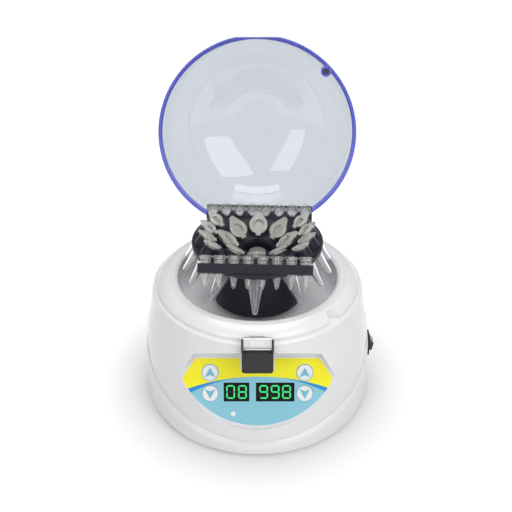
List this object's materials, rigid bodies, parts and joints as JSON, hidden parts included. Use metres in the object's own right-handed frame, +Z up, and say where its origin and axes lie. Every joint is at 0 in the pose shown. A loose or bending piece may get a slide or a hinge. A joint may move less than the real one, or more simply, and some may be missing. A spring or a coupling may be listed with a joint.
{
  "type": "mini centrifuge",
  "caption": "Round bench mini centrifuge with a hinged clear dome lid, front latch and keypad, and a dish rotor holding tubes and tube strips.",
  "frame": {"origin": "centre of the base underside, on the rotor axis; the rubber feet stand 1.5 mm below it", "axes": "+Z up along the rotor axis, keypad and latch face -Y, power switch on +X"},
  "size_m": [0.159, 0.2245, 0.221],
  "materials": {
    "housing_white": "glossy white moulding",
    "base_white": "glossy white moulding",
    "bowl_grey": "smooth pale grey",
    "lid_clear": "clear, tinted, polished",
    "rotor_black": "satin black",
    "tube_milky": "translucent polypropylene",
    "strip_clear": "clear polypropylene",
    "steel": "bright steel",
    "nut_metal": "turned, pale",
    "latch_black": "satin black",
    "key_white": "gloss white",
    "overlay_film": "printed film",
    "display_black": "dark window",
    "lamp_white": "clear white",
    "switch_black": "satin black",
    "board_green": "solder mask",
    "component_dark": "moulded",
    "rubber_black": "matt",
    "motor_steel": "plated",
    "magnet_dark": "ground ferrite",
    "bronze": "sintered"
  },
  "bodies": {
    "housing": {"base_shell": "base_white", "upper_housing": "housing_white", "chamber_bowl": "bowl_grey", "bowl_screws": "steel", "motor_plate": "steel", "motor_mounts": "rubber_black", "motor_screws": "steel", "motor_can": "motor_steel", "motor_end_cap": "motor_steel", "motor_bearings": "bronze", "motor_magnets": "magnet_dark", "lid_sensor": "component_dark", "hinge_pin": "steel", "latch_pin": "steel", "panel_overlay": "overlay_film", "display_speed": "display_black", "display_time": "display_black", "indicator_lens": "lamp_white", "tact_switches": "component_dark", "control_board": "board_green", "board_screws": "steel", "switch_bezel": "switch_black", "dc_jack": "component_dark", "power_board": "board_green", "base_screws": "steel", "rubber_feet": "rubber_black"},
    "rotor": {"motor_shaft": "steel", "motor_armature": "motor_steel", "shaft_adapter": "nut_metal", "rotor": "rotor_black", "rotor_nut": "nut_metal", "large_tubes": "tube_milky", "small_tubes": "tube_milky", "pcr_strip_front": "strip_clear", "pcr_strip_rear": "strip_clear"},
    "lid": {"lid_dome": "lid_clear", "lid_magnet": "steel"},
    "latch": {"latch_button": "latch_black", "latch_hook": "steel", "latch_spring": "steel"},
    "switch_rocker": {"switch_rocker": "switch_black"},
    "button_speed_up": {"button_speed_up": "key_white"},
    "button_speed_down": {"button_speed_down": "key_white"},
    "button_time_up": {"button_time_up": "key_white"},
    "button_time_down": {"button_time_down": "key_white"}
  },
  "joints": [
    {"name": "rotor_spin", "type": "hinge", "parent": "housing", "child": "rotor", "pos_m": [0, 0, 0.1], "axis": [0, 0, 1], "continuous": true},
    {"name": "lid_hinge", "type": "hinge", "parent": "housing", "child": "lid", "pos_m": [0, 0.0709, 0.083], "axis": [1, 0, 0], "range_deg": [0, 101.5]},
    {"name": "latch_pivot", "type": "hinge", "parent": "housing", "child": "latch", "pos_m": [0, -0.0675, 0.084], "axis": [1, 0, 0], "range_deg": [0, 10], "stiffness_Nm_per_rad": 0.05, "springref_deg": -8.59},
    {"name": "rocker_tilt", "type": "hinge", "parent": "housing", "child": "switch_rocker", "pos_m": [0.07525, 0.00263, 0.032], "axis": [-0.0349, 0.9994, 0], "range_deg": [0, 24]},
    {"name": "press_speed_up", "type": "slide", "parent": "housing", "child": "button_speed_up", "axis": [0, 0.891, -0.454], "range_m": [0, 0.0004], "stiffness_N_per_m": 300, "springref_m": -0.0008},
    {"name": "press_speed_down", "type": "slide", "parent": "housing", "child": "button_speed_down", "axis": [0, 0.891, -0.454], "range_m": [0, 0.0004], "stiffness_N_per_m": 300, "springref_m": -0.0008},
    {"name": "press_time_up", "type": "slide", "parent": "housing", "child": "button_time_up", "axis": [0, 0.891, -0.454], "range_m": [0, 0.0004], "stiffness_N_per_m": 300, "springref_m": -0.0008},
    {"name": "press_time_down", "type": "slide", "parent": "housing", "child": "button_time_down", "axis": [0, 0.891, -0.454], "range_m": [0, 0.0004], "stiffness_N_per_m": 300, "springref_m": -0.0008}
  ]
}
